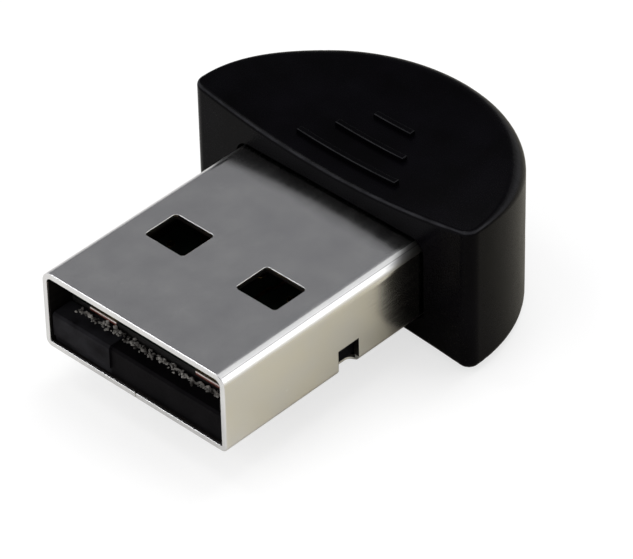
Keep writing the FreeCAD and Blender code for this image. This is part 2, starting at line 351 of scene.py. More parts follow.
@dataclass(frozen=True)
class MouldedPlastic:
    """Satin moulded plastic with a fine spark-eroded grain, painted a little paler along its front rims as a
    highlight.
    """

    name: str
    dark: Colour
    light: Colour
    smooth: float
    rough: float
    grain: float
    shine: float
    # colour of the painted rim highlight
    rim_highlight: Colour
    marks: tuple[Point, ...] = ()
    mark_depth: float = 0.03
    mark_edge: float = 0.06

    def painted_rim_highlights(self, sheet: Sheet, patchiness: Socket) -> Socket:
        """Marks where a highlight is painted on the rims that turn from the walls to the top and the
        underside.

        Args:
            sheet: The material's node tree.
            patchiness: A pattern that leaves the painted highlight uneven.

        Returns:
            1 where the rim highlight is painted and 0 elsewhere.
        """
        above = sheet.spread(sheet.tilt("Z"), 0.45, 0.62, 0.0, 1.0)
        below = sheet.spread(sheet.tilt("Z"), 0.80, 0.93, 1.0, 0.0)
        # the highlight is painted on front-facing rims only
        front = sheet.spread(sheet.facing("Y"), -0.1, 0.5, 1.0, 0.2)
        uneven = sheet.spread(patchiness, 0.35, 0.65, 0.5, 1.0)
        return sheet.product(above, below, front, uneven)

    def pressed(self, sheet: Sheet) -> Socket | None:
        """Presses the round marks of the mould's ejector pins.

        Args:
            sheet: The material's node tree.

        Returns:
            The bumped normal, or None without marks.
        """
        normal = None
        for x, y, radius in self.marks:
            away = sheet.node("ShaderNodeVectorMath", operation="DISTANCE")
            sheet.join(sheet.place((1.0, 1.0, 0.0)), away.inputs[0])
            sheet.join((x, y, 0.0), away.inputs[1])
            edge = self.mark_edge
            height = sheet.spread(away.outputs["Value"], radius - edge, radius + edge, 0.0, 1.0)
            normal = sheet.relief(height, self.mark_depth, normal)
        return normal

    def material(self) -> bpy.types.Material:
        """Returns the finish as a node material."""
        sheet = Sheet(self.name)
        cloud = sheet.noise(0.35, 4.0)
        grain = sheet.noise(14.0, 3.0)
        plain = sheet.tint(cloud, [(0.35, self.dark), (0.68, self.light)])
        # pale is the colour of the painted rim highlight
        pale = sheet.tint(grain, [(0.3, scaled(self.rim_highlight, 0.8)), (0.7, self.rim_highlight)])
        base = sheet.blend(self.painted_rim_highlights(sheet, sheet.noise(1.2, 4.0)), plain, pale)
        rough = sheet.spread(sheet.calculate("ADD", grain, cloud), 0.7, 1.3, self.smooth, self.rough)
        normal = sheet.relief(grain, self.grain, self.pressed(sheet))
        return sheet.surface(Base_Color=base, Roughness=rough, Normal=normal, Specular_IOR_Level=self.shine)


@dataclass(frozen=True)
class TonguePlastic:
    """Plastic of the tongue, with painted light: the block that stands proud at its left is coloured a little
    paler.
    """

    name: str = "tongue_plastic"
    dark: Colour = (0.0020, 0.0018, 0.0022)
    light: Colour = (0.0038, 0.0034, 0.0040)
    # paler tone of the proud block, painted light
    lit_block_tone: Colour = (0.0125, 0.0122, 0.0140)
    block_end: float = -1.8

    def material(self) -> bpy.types.Material:
        """Returns the finish as a node material."""
        sheet = Sheet(self.name)
        cloud = sheet.noise(0.8, 4.0)
        grain = sheet.noise(11.0, 3.0)
        plain = sheet.tint(cloud, [(0.35, self.dark), (0.68, self.light)])
        # painted light on the proud block
        block = sheet.tint(cloud, [(0.3, self.light), (0.6, self.lit_block_tone)])
        share = sheet.spread(sheet.along("X"), self.block_end - 0.05, self.block_end + 0.02, 1.0, 0.0)
        rough = sheet.spread(grain, 0.3, 0.7, 0.42, 0.58)
        normal = sheet.relief(grain, 0.002)
        base = sheet.blend(share, plain, block)
        return sheet.surface(Base_Color=base, Roughness=rough, Normal=normal, Specular_IOR_Level=0.02)


@dataclass(frozen=True)
class PlatedSteel:
    """Nickel-plated steel sheet: satin and faintly clouded, with a painted reflection and shade of the
    housing that darkens it towards the housing, painted shade on its inner faces, and a painted warm
    reflection on its sides.
    """

    name: str = "plated_steel"
    cool: Colour = (0.69, 0.69, 0.70)
    pale: Colour = (0.765, 0.765, 0.765)
    # painted warm reflection on the upright sides
    side_reflection_tone: Colour = (0.80, 0.775, 0.69)
    speck: Colour = (0.90, 0.90, 0.89)
    # painted shade of the inner faces and slot edges
    dim_tone: Colour = (0.016, 0.014, 0.013)
    smooth: float = 0.17
    rough: float = 0.22
    bend_rough: float = 0.32
    inner_x: float = 5.74
    inner_z: float = 2.12
    slot_x: float = 5.3
    fold_z: float = -1.93
    mouth: float = 0.12
    blur: float = 0.02
    edge_radius: float = 0.05
    # painted reflection and shade of the black housing, blended in towards the housing
    housing_reflection: Colour = (0.20, 0.197, 0.19)
    housing_reflection_start: float = 11.6
    housing_reflection_end: float = 13.2
    side_lead: float = 0.8

    def painted_housing_reflection(self, sheet: Sheet, upright: Socket) -> Socket:
        """Marks the painted reflection and shade of the black housing, which darken the sheath towards the
        housing, sooner on its sides.

        Args:
            sheet: The material's node tree.
            upright: 1 on the sides and 0 on the flat faces.

        Returns:
            0 on the open sheath and 1 at the housing.
        """
        lead = sheet.calculate("MULTIPLY", upright, self.side_lead)
        reached = sheet.calculate("ADD", sheet.along("Y"), lead)
        wander = sheet.spread(sheet.noise(1.2, 3.0), 0.3, 0.7, -0.1, 0.1)
        ragged = sheet.calculate("ADD", reached, wander)
        return sheet.spread(ragged, self.housing_reflection_start, self.housing_reflection_end, 0.0, 1.0)

    def inside(self, sheet: Sheet) -> Socket:
        """Marks the sheath's inner faces and the torn edges of its side slots, where shade is painted.

        Args:
            sheet: The material's node tree.

        Returns:
            1 on those faces and 0 elsewhere.
        """
        blur = self.blur
        across = sheet.spread(sheet.offset("X"), self.inner_x, self.inner_x + blur, 1.0, 0.0)
        up = sheet.spread(sheet.offset("Z"), self.inner_z, self.inner_z + blur, 1.0, 0.0)
        back = sheet.spread(sheet.along("Y"), self.mouth - 2 * blur, self.mouth, 0.0, 1.0)
        torn = sheet.spread(sheet.tilt("Y"), 0.7, 0.8, 0.0, 1.0)
        slot = sheet.spread(sheet.offset("X"), self.slot_x, self.slot_x + blur, 0.0, 1.0)
        wall = sheet.spread(sheet.along("Z"), self.fold_z - blur, self.fold_z + blur, 0.0, 1.0)
        shaded_hollow = sheet.product(across, up)
        shaded_slot_edges = sheet.product(torn, slot, wall)
        return sheet.product(sheet.calculate("MAXIMUM", shaded_hollow, shaded_slot_edges), back)

    def material(self) -> bpy.types.Material:
        """Returns the finish as a node material."""
        sheet = Sheet(self.name)
        cloud = sheet.noise(0.55, 5.0)
        rolled = sheet.noise(6.0, 4.0, (1.0, 0.06, 1.0))
        specks = sheet.spread(sheet.spots(0.8), 0.035, 0.055, 1.0, 0.0)
        plain = sheet.tint(cloud, [(0.30, self.cool), (0.72, self.pale)])
        # the upright sides get a painted warm reflection
        painted_side_reflection = sheet.tint(cloud, [(0.25, self.side_reflection_tone), (0.85, self.pale)])
        upright = sheet.spread(sheet.tilt("X"), 0.75, 1.0, 0.0, 1.0)
        speckled = sheet.tint(rolled, [(0.2, self.pale), (0.6, self.speck)])
        clean = sheet.blend(specks, sheet.blend(upright, plain, painted_side_reflection), speckled)
        # painted reflection and shade of the housing, darkest at the housing
        housing_reflection = sheet.tint(rolled, [(0.3, self.housing_reflection), (0.7, scaled(self.housing_reflection, 1.3))])
        outside = sheet.blend(self.painted_housing_reflection(sheet, upright), clean, housing_reflection)
        # painted shade inside the sheath and on its slot edges
        inside = self.inside(sheet)
        dim_tone = sheet.tint(rolled, [(0.3, self.dim_tone), (0.7, scaled(self.dim_tone, 1.6))])
        base = sheet.blend(inside, outside, dim_tone)
        worn = sheet.spread(sheet.calculate("ADD", cloud, rolled), 0.8, 1.2, self.smooth, self.rough)
        bent = sheet.product(sheet.tilt("X"), sheet.tilt("Z"))
        folded = sheet.calculate("MAXIMUM", worn, sheet.spread(bent, 0.05, 0.3, 0.0, self.bend_rough))
        rough = sheet.calculate("MAXIMUM", folded, sheet.spread(inside, 0.0, 1.0, 0.0, 0.6))
        bevel = sheet.node("ShaderNodeBevel", samples=6)
        sheet.join(self.edge_radius * MM, bevel.inputs["Radius"])
        normal = sheet.relief(rolled, 0.0002, bevel.outputs["Normal"])
        return sheet.surface(Base_Color=base, Roughness=rough, Normal=normal, Metallic=1.0)


@dataclass(frozen=True)
class MaskedBoard:
    """Black glass-fibre board under a dark solder mask, with rough sawn edges."""

    name: str = "masked_board"
    mask: Colour = (0.0025, 0.0050, 0.0035)
    mask_thin: Colour = (0.0045, 0.0100, 0.0065)
    fibre: Colour = (0.0012, 0.0010, 0.0009)
    fibre_pale: Colour = (0.0060, 0.0050, 0.0042)

    def material(self) -> bpy.types.Material:
        """Returns the finish as a node material."""
        sheet = Sheet(self.name)
        cloud = sheet.noise(0.8, 3.0)
        strands = sheet.noise(7.0, 4.0, (1.0, 1.0, 3.0))
        edge = sheet.spread(sheet.tilt("Z"), 0.3, 0.6, 1.0, 0.0)
        masked = sheet.tint(cloud, [(0.35, self.mask), (0.7, self.mask_thin)])
        sawn = sheet.tint(strands, [(0.35, self.fibre), (0.65, self.fibre_pale)])
        base = sheet.blend(edge, masked, sawn)
        rough = sheet.spread(sheet.calculate("ADD", edge, strands), 0.4, 1.4, 0.35, 0.85)
        normal = sheet.relief(sheet.product(strands, edge), 0.03)
        return sheet.surface(Base_Color=base, Roughness=rough, Normal=normal)


@dataclass(frozen=True)
class BareMetal:
    """Metal with fine marks that run along the plug."""

    name: str
    dim_tone: Colour
    bright: Colour
    smooth: float
    rough: float
    marks: Point = (1.0, 0.12, 1.0)

    def material(self) -> bpy.types.Material:
        """Returns the finish as a node material."""
        sheet = Sheet(self.name)
        marks = sheet.noise(12.0, 4.0, self.marks)
        cloud = sheet.noise(1.5, 3.0)
        base = sheet.tint(sheet.product(marks, cloud), [(0.15, self.dim_tone), (0.4, self.bright)])
        rough = sheet.spread(marks, 0.35, 0.7, self.smooth, self.rough)
        normal = sheet.relief(marks, 0.001)
        return sheet.surface(Base_Color=base, Roughness=rough, Normal=normal, Metallic=1.0)


@dataclass(frozen=True)
class Mottled:
    """Fired, pressed or frayed body, such as ceramic, ferrite and fibre."""

    name: str
    dark: Colour
    light: Colour
    rough: Range
    grain: float
    per_mm: float = 16.0
    stops: Range = (0.35, 0.65)

    def material(self) -> bpy.types.Material:
        """Returns the finish as a node material."""
        sheet = Sheet(self.name)
        grain = sheet.noise(self.per_mm, 5.0)
        base = sheet.tint(grain, list(zip(self.stops, (self.dark, self.light))))
        rough = sheet.spread(grain, 0.3, 0.7, *self.rough)
        return sheet.surface(Base_Color=base, Roughness=rough, Normal=sheet.relief(grain, self.grain))


@dataclass(frozen=True)
class ClearLens:
    """Clear epoxy with a faint milky haze."""

    name: str = "clear_lens"
    clear: Colour = (0.80, 0.86, 0.95)
    hazy: Colour = (0.60, 0.70, 0.85)

    def material(self) -> bpy.types.Material:
        """Returns the finish as a node material."""
        sheet = Sheet(self.name)
        haze = sheet.noise(3.0, 3.0)
        base = sheet.tint(haze, [(0.35, self.clear), (0.7, self.hazy)])
        rough = sheet.spread(haze, 0.3, 0.7, 0.08, 0.25)
        return sheet.surface(Base_Color=base, Roughness=rough, Transmission_Weight=0.7, IOR=1.5)


class Finishes:
    """Every finish of the adapter, made once."""

    def __init__(self) -> None:
        """Builds the materials."""
        black = ((0.0005, 0.0004, 0.0007), (0.0012, 0.0010, 0.0018))
        epoxy = ((0.008, 0.008, 0.009), (0.020, 0.020, 0.021))
        glass = ((0.020, 0.017, 0.015), (0.31, 0.295, 0.275))
        rust = ((0.10, 0.020, 0.016), (0.22, 0.055, 0.040))
        tin = ((0.50, 0.50, 0.51), (0.74, 0.74, 0.75))
        zirconia = ((0.55, 0.54, 0.50), (0.74, 0.73, 0.69))
        titanate = ((0.24, 0.15, 0.08), (0.36, 0.24, 0.14))
        glaze = ((0.012, 0.012, 0.014), (0.03, 0.03, 0.034))
        ferrite = ((0.03, 0.03, 0.034), (0.075, 0.074, 0.078))
        # painted rim highlight colours, for the housing and cover and for the chips
        rim_highlight = (0.022, 0.022, 0.025)
        chip_rim_highlight = (0.035, 0.035, 0.036)
        pins = ((-4.6, 16.6, 0.8), (4.6, 16.6, 0.8), (0.0, 20.2, 0.55))
        even = (1.0, 1.0, 1.0)
        self.housing = MouldedPlastic("housing_plastic", *black, 0.22, 0.31, 0.0006, 0.04, rim_highlight).material()
        cover = MouldedPlastic("cover_plastic", *black, 0.25, 0.35, 0.0008, 0.04, rim_highlight, pins)
        self.cover = cover.material()
        self.tongue = TonguePlastic().material()
        self.chip = MouldedPlastic("chip_epoxy", *epoxy, 0.5, 0.66, 0.003, 0.5, chip_rim_highlight).material()
        self.steel = PlatedSteel().material()
        self.board = MaskedBoard().material()
        self.fibre = Mottled("frayed_fibre", *glass, (0.75, 0.4), 0.03, 2.2, (0.42, 0.64)).material()
        self.gold = BareMetal("contact_gold", (0.62, 0.40, 0.16), (0.93, 0.68, 0.32), 0.16, 0.32).material()
        self.copper = BareMetal("copper_foil", (0.20, 0.06, 0.04), (0.42, 0.16, 0.11), 0.25, 0.42).material()
        self.burr = Mottled("foil_burr", *rust, (0.4, 0.6), 0.003).material()
        # painted highlight along the top of the foil ends
        self.foil_highlight = Mottled("painted_foil_highlight", (0.7, 0.58, 0.54), (0.95, 0.86, 0.82), (0.3, 0.5), 0.002).material()
        self.can = BareMetal("can_nickel", (0.52, 0.51, 0.49), (0.72, 0.71, 0.69), 0.2, 0.35, even).material()
        self.solder = BareMetal("reflowed_solder", *tin, 0.22, 0.42, even).material()
        self.antenna = Mottled("antenna_ceramic", *zirconia, (0.4, 0.6), 0.003).material()
        self.capacitor = Mottled("capacitor_ceramic", *titanate, (0.35, 0.55), 0.003).material()
        self.resistor = Mottled("resistor_glaze", *glaze, (0.25, 0.45), 0.002).material()
        self.ferrite = Mottled("ferrite_body", *ferrite, (0.5, 0.7), 0.004).material()
        self.ink = Mottled("marking_ink", (0.5, 0.5, 0.48), (0.66, 0.66, 0.64), (0.5, 0.7), 0.001).material()
        self.lens = ClearLens().material()


def dress(node: bpy.types.Object, material: bpy.types.Material) -> None:
    """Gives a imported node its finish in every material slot."""
    if not node.material_slots:
        node.data.materials.append(material)
    for slot in node.material_slots:
        slot.material = material


@dataclass
class Adapter:
    """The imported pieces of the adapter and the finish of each."""

    nodes: dict[str, bpy.types.Object]
    finishes: Finishes

    def dress_nodes(self) -> None:
        """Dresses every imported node."""
        f = self.finishes
        for material, names in (
            (f.housing, ["upper_housing"]),
            (f.cover, ["bottom_cover"]),
            (f.steel, ["plug_shell"]),
            (f.tongue, ["board_cradle"]),
            (f.board, ["circuit_board"]),
            (f.gold, ["power_contact", "data_minus_contact", "data_plus_contact", "ground_contact"]),
            (f.chip, ["radio_chip", "memory_chip", "voltage_regulator"]),
            (f.can, ["crystal"]),
            (f.lens, ["status_led"]),
            (f.antenna, ["chip_antenna", "antenna_filter"]),
            (f.ferrite, ["ferrite_bead"]),
            (f.resistor, ["resistors"]),
            (f.capacitor, ["capacitors"]),
            (f.solder, ["shell_solder", "component_solder"]),
        ):
            for name in names:
                dress(self.nodes[name], material)
                LOG.info("dressed %s with %s", name, material.name)


class Bench:
    """Steps of modelling that the added pieces share."""

    @staticmethod
    def begin() -> None:
        """Leaves edit mode and deselects everything."""
        if bpy.context.object is not None and bpy.context.object.mode != "OBJECT":
            bpy.ops.object.mode_set(mode="OBJECT")
        bpy.ops.object.select_all(action="DESELECT")

    @staticmethod
    def hold(piece: bpy.types.Object) -> None:
        """Selects one piece alone and makes it active."""
        Bench.begin()
        piece.select_set(True)
        bpy.context.view_layer.objects.active = piece

    @staticmethod
    def newest(name: str) -> bpy.types.Object:
        """Names the object that was just added, and returns it."""
        made = bpy.context.object
        made.name = name
        return made

    @staticmethod
    def settle(piece: bpy.types.Object) -> None:
        """Puts a piece's place, turn and size into its mesh."""
        Bench.hold(piece)
        bpy.ops.object.transform_apply(location=True, rotation=True, scale=True)

    @staticmethod
    def block(name: str, centre: Point, size: Point) -> bpy.types.Object:
        """Adds a cuboid.

        Args:
            name: The piece's name.
            centre: Its middle in millimetres.
            size: Its size in millimetres.

        Returns:
            The cuboid.
        """
        Bench.begin()
        bpy.ops.mesh.primitive_cube_add(size=1.0, location=metres(centre))
        piece = Bench.newest(name)
        piece.scale = metres(size)
        Bench.settle(piece)
        return piece

    @staticmethod
    def disc(name: str, centre: Point, radius: float, depth: float, sides: int) -> bpy.types.Object:
        """Adds an upright drum.

        Args:
            name: The piece's name.
            centre: Its middle in millimetres.
            radius: Its radius in millimetres.
            depth: Its height in millimetres.
            sides: How many sides it has.

        Returns:
            The drum.
        """
        Bench.begin()
        size = {"radius": radius * MM, "depth": depth * MM}
        bpy.ops.mesh.primitive_cylinder_add(vertices=sides, **size, location=metres(centre))
        piece = Bench.newest(name)
        Bench.settle(piece)
        return piece

    @staticmethod
    @contextmanager
    def shaping(piece: bpy.types.Object) -> Iterator[None]:
        """Opens a piece in edit mode.

        Args:
            piece: The piece to shape.

        Yields:
            Nothing, with the piece open.
        """
        Bench.hold(piece)
        bpy.ops.object.mode_set(mode="EDIT")
        yield
        bpy.ops.object.mode_set(mode="OBJECT")

    @staticmethod
    def pick(piece: bpy.types.Object, element: Element, wanted: Callable[[Vector, Vector], bool]) -> None:
        """Selects parts of the open piece by place and direction.

        Args:
            piece: The piece in edit mode.
            element: What to select.
            wanted: Says yes or no to a middle in millimetres and a normal, or a run for an edge.
        """
        bpy.ops.mesh.select_mode(type=element.value)
        bpy.ops.mesh.select_all(action="DESELECT")
        mesh = bmesh.from_edit_mesh(piece.data)
        if element is Element.FACE:
            for face in mesh.faces:
                face.select_set(wanted(face.calc_center_median() / MM, face.normal))
        else:
            for edge in mesh.edges:
                first, last = (vertex.co for vertex in edge.verts)
                edge.select_set(wanted((first + last) / 2 / MM, (last - first).normalized()))
        mesh.select_flush_mode()
        bmesh.update_edit_mesh(piece.data)

    @staticmethod
    def inset(piece: bpy.types.Object, way: Point, thickness: float, depth: float) -> None:
        """Insets the faces of the open piece that look one way.

        Args:
            piece: The piece in edit mode.
            way: The direction, of length 1.
            thickness: The width of the rim that stays, in millimetres.
            depth: How far the part inside the rim rises, in millimetres.
        """
        Bench.pick(piece, Element.FACE, lambda _, normal: normal.dot(Vector(way)) > 0.99)
        bpy.ops.mesh.inset(thickness=thickness * MM, depth=depth * MM)

    @staticmethod
    def modify(piece: bpy.types.Object, kind: str, **settings: object) -> None:
        """Adds a modifier and applies it.

        Args:
            piece: The piece.
            kind: Blender's name for the modifier type.
            **settings: Values for the modifier's own properties.
        """
        Bench.hold(piece)
        modifier = piece.modifiers.new(kind.lower(), kind)
        for name, value in settings.items():
            setattr(modifier, name, value)
        bpy.ops.object.modifier_apply(modifier=modifier.name)

    @staticmethod
    def soften(piece: bpy.types.Object, width: float) -> None:
        """Bevels every sharp edge of a piece, by a width in millimetres."""
        Bench.modify(piece, "BEVEL", width=width * MM, segments=2, limit_method="ANGLE")

    @staticmethod
    def again(piece: bpy.types.Object, name: str, moved: Point, turned: float = 0.0) -> bpy.types.Object:
        """Copies a piece with a mesh of its own.

        Args:
            piece: The piece to copy.
            name: The copy's name.
            moved: How far the copy is moved, in millimetres.
            turned: The copy's turn about the upright axis through the origin, in radians, before the move.

        Returns:
            The copy.
        """
        made = piece.copy()
        made.data = piece.data.copy()
        made.name = name
        made.data.transform(Matrix.Translation(metres(moved)) @ Matrix.Rotation(turned, 4, "Z"))
        bpy.context.collection.objects.link(made)
        return made

    @staticmethod
    def strip(name: str, path: list[Point], width: float, depth: float) -> bpy.types.Object:
        """Pulls a flat strip along a path.

        Args:
            name: The piece's name.
            path: Corners of the strip's middle line, in millimetres; the first run lies along X or Y.
            width: The strip's width in millimetres.
            depth: The strip's thickness in millimetres, upwards from the path.

        Returns:
            The strip.
        """
        start = Vector(path[0])
        run = (Vector(path[1]) - start).normalized()
        Bench.begin()
        bpy.ops.mesh.primitive_plane_add(size=1.0, location=metres(start + run * width / 2))
        piece = Bench.newest(name)
        piece.scale = (width * MM, width * MM, 1.0)
        Bench.settle(piece)
        reached = start + run * width
        with Bench.shaping(piece):
            Bench.pick(piece, Element.EDGE, lambda middle, _: (middle - reached).length < width / 100)
            for corner in path[1:]:
                step = Vector(corner) - reached
                bpy.ops.mesh.extrude_region_move(TRANSFORM_OT_translate={"value": metres(step)})
                reached = Vector(corner)
        Bench.modify(piece, "SOLIDIFY", thickness=depth * MM, offset=1.0)
        with Bench.shaping(piece):
            bpy.ops.mesh.select_all(action="SELECT")
            bpy.ops.mesh.normals_make_consistent(inside=False)
        return piece

    @staticmethod
    def finish(piece: bpy.types.Object, material: bpy.types.Material, slot: Slot) -> None:
        """Smooths, dresses and fixes a finished piece to the adapter.

        Args:
            piece: The piece.
            material: Its finish.
            slot: Not used.
        """
        Bench.hold(piece)
        bpy.ops.object.shade_smooth_by_angle(angle=SMOOTH_ANGLE)
        piece.data.materials.clear()
        piece.data.materials.append(material)
        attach(piece, BODY)
        LOG.info("made %s: %d faces", piece.name, len(piece.data.polygons))


@dataclass
class BoardEdge:
    """The board's sawn front edge: frayed fibre along its foot, and the foil ends of the outer contacts, each
    topped by a pale painted highlight.
    """

    finishes: Finishes
    fray_start: float = -4.8
    fray_end: float = 5.35
    fray_y: float = 1.17
    fray_step: float = 0.048
    fray_gaps: Range = (0.55, 1.5)
    fray_wave: float = 0.05
    fray_turns: float = 1.9
    fray_scatter: float = 0.10
    seed: int = 11
    crumb_radius: float = 0.066
    crumb_rough: float = 0.018
    crumb_foot: Point = (1.15, 1.15, 0.3)
    crumb_sizes: Range = (0.55, 1.35)
    crumb_lengths: Range = (0.8, 1.7)
    crumb_heights: Range = (0.6, 1.1)
    crumb_rise: Range = (-0.2, 0.9)
    crumb_turns: Range = (0.0, 6.28)
    crumb_lean: float = 0.5
    proud_end: float = -1.8
    proud_top: float = -0.25
    lip_top: float = -0.35
    pad_spread: float = 7.0
    pad_width: float = 1.75
    foil_depth: float = 0.05
    foil_height: float = 0.06
    board_front: float = 1.5

    def crumb(self) -> bpy.types.Object:
        """Shapes one ragged crumb about the origin."""
        Bench.begin()
        bpy.ops.mesh.primitive_ico_sphere_add(subdivisions=2, radius=self.crumb_radius * MM)
        piece = Bench.newest("fibre_crumb")
        with Bench.shaping(piece):
            bpy.ops.mesh.select_all(action="SELECT")
            bpy.ops.transform.vertex_random(offset=self.crumb_rough * MM, uniform=0.4, seed=3)
            Bench.pick(piece, Element.FACE, lambda middle, _: middle.z < -0.4 * self.crumb_radius)
            bpy.ops.transform.resize(value=self.crumb_foot)
        return piece

    def fray(self) -> bpy.types.Object:
        """Lays crumbs in a ragged row on the lip and joins them."""
        dice = random.Random(self.seed)
        crumb = self.crumb()
        row = [crumb]
        x = self.fray_start
        while x < self.fray_end:
            size = dice.uniform(*self.crumb_sizes)
            top = self.proud_top if x < self.proud_end else self.lip_top
            wander = self.fray_wave * math.sin(self.fray_turns * x) + dice.gauss(0.0, self.fray_scatter)
            rise = size * self.crumb_radius * dice.uniform(*self.crumb_rise)
            place = Vector((x, self.fray_y + wander, top + rise))
            made = Bench.again(crumb, "fibre_crumb_copy", (0.0, 0.0, 0.0))
            turn = Matrix.Rotation(dice.uniform(*self.crumb_turns), 4, "Z")
            turn = turn @ Matrix.Rotation(dice.gauss(0.0, self.crumb_lean), 4, "X")
            length = size * dice.uniform(*self.crumb_lengths)
            height = size * dice.uniform(*self.crumb_heights)
            squash = Matrix.Diagonal((length, size, height, 1.0))
            made.data.transform(Matrix.Translation(metres(place)) @ turn @ squash)
            row.append(made)
            x += self.fray_step * dice.uniform(*self.fray_gaps)
        crumb.data.transform(Matrix.Translation(metres((self.fray_end, self.fray_y, self.lip_top))))
        Bench.begin()
        for piece in row:
            piece.select_set(True)
        bpy.context.view_layer.objects.active = crumb
        bpy.ops.object.join()
        crumb.name = "frayed_edge"
        return crumb

    def foil_end(self) -> bpy.types.Object:
        """Shapes the rolled foil end of one contact at the middle of the board's front edge."""
        middle = (0.0, self.board_front - self.foil_depth / 2, -self.foil_height / 2)
        piece = Bench.block("foil_end", middle, (self.pad_width, self.foil_depth, self.foil_height))
        with Bench.shaping(piece):
            Bench.inset(piece, (0.0, -1.0, 0.0), 0.012, -0.006)
        Bench.soften(piece, 0.008)
        return piece

    def build(self) -> None:
        """Adds the frayed edge, the foil ends and their painted highlights."""
        Bench.finish(self.fray(), self.finishes.fibre, Slot.BOARD)
        first = self.foil_end()
        for name, side, drop, material in (
            # the pale pieces are painted highlights on the foil ends
            ("power_foil_highlight", -1, -0.03, self.finishes.foil_highlight),
            ("power_foil_core", -1, -0.12, self.finishes.burr),
            ("ground_foil_highlight", 1, -0.05, self.finishes.foil_highlight),
            ("ground_foil_core", 1, -0.15, self.finishes.burr),
        ):
            piece = Bench.again(first, name, (side * self.pad_spread / 2, 0.0, drop))
            Bench.finish(piece, material, Slot.GOLD)
        bpy.data.objects.remove(first)


